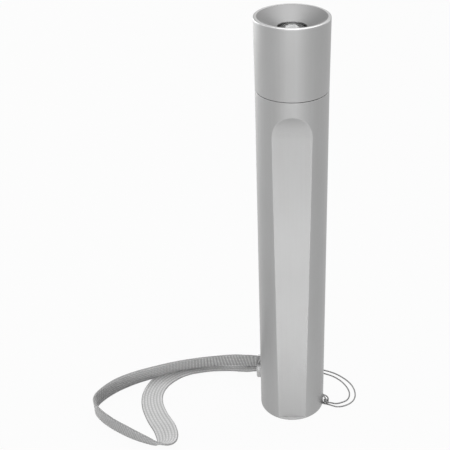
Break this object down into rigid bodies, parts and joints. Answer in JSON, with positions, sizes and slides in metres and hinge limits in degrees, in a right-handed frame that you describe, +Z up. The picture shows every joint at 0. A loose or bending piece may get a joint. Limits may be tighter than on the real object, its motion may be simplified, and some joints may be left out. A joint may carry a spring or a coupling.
{
  "type": "flashlight",
  "caption": "Slim aluminium flashlight with a push-pull focusing head, screw-in tail plug with push button, alkaline cells, and a webbing wrist strap on a cord.",
  "frame": {"origin": "centre of the tail rim that the flashlight stands on", "axes": "+Z up the barrel to the lens; the ground flat faces -Y and the lanyard eye is on the +X side"},
  "size_m": [0.1464, 0.0805, 0.2244],
  "materials": {
    "barrel_silver": "satin",
    "head_silver": "satin",
    "plug_silver": "satin",
    "button_silver": "satin",
    "neck_aluminium": "satin",
    "star_aluminium": "matte",
    "lamp_brass": "satin",
    "spring_wire": "polished",
    "screw_steel": "satin",
    "cell_jacket": "gloss",
    "black_rubber": "matte",
    "white_nylon": "matte",
    "black_plastic": "matte",
    "board_green": "satin",
    "led_phosphor": "satin",
    "led_silicone": "gloss",
    "lens_clear": "gloss",
    "clip_grey": "satin",
    "webbing_grey": "matte",
    "cord_grey": "matte"
  },
  "bodies": {
    "barrel": {"barrel_tube": "barrel_silver", "cell_rear": "cell_jacket", "cell_middle": "cell_jacket", "cell_front": "cell_jacket", "front_spring": "spring_wire", "lamp_retaining_ring": "lamp_brass", "driver_board": "board_green", "driver_parts": "black_plastic", "heat_sink": "lamp_brass", "star_board": "star_aluminium", "star_screws": "screw_steel", "led_package": "led_phosphor", "led_dome": "led_silicone", "lamp_neck": "neck_aluminium", "neck_oring": "black_rubber", "strap_clip": "clip_grey", "strap_webbing": "webbing_grey", "lanyard_cord": "cord_grey"},
    "plug_seal": {"plug_oring": "black_rubber"},
    "plug": {"tail_plug": "plug_silver", "plug_retaining_ring": "plug_silver", "switch_housing": "black_plastic", "switch_board": "board_green", "tail_spring": "spring_wire"},
    "button": {"switch_button": "button_silver", "button_oring": "black_rubber", "switch_plunger": "white_nylon"},
    "head": {"head_shell": "head_silver", "lens": "lens_clear", "lens_gasket": "black_rubber", "lens_retaining_ring": "neck_aluminium"}
  },
  "joints": [
    {"name": "head_focus", "type": "slide", "parent": "barrel", "child": "head", "axis": [0, 0, 1], "range_m": [0, 0.0078]},
    {"name": "plug_travel", "type": "slide", "parent": "barrel", "child": "plug_seal", "axis": [0, 0, -1], "range_m": [0, 0.005]},
    {"name": "plug_turn", "type": "hinge", "parent": "plug_seal", "child": "plug", "pos_m": [0, 0, 0.015], "axis": [0, 0, -1], "range_deg": [0, 1440]},
    {"name": "button_press", "type": "slide", "parent": "plug", "child": "button", "axis": [0, 0, 1], "range_m": [0, 0.0015], "stiffness_N_per_m": 900, "springref_m": -0.002}
  ],
  "couplings": [
    {"joint": "plug_turn", "follows": "plug_travel", "rad_per_m": 5026.5}
  ]
}
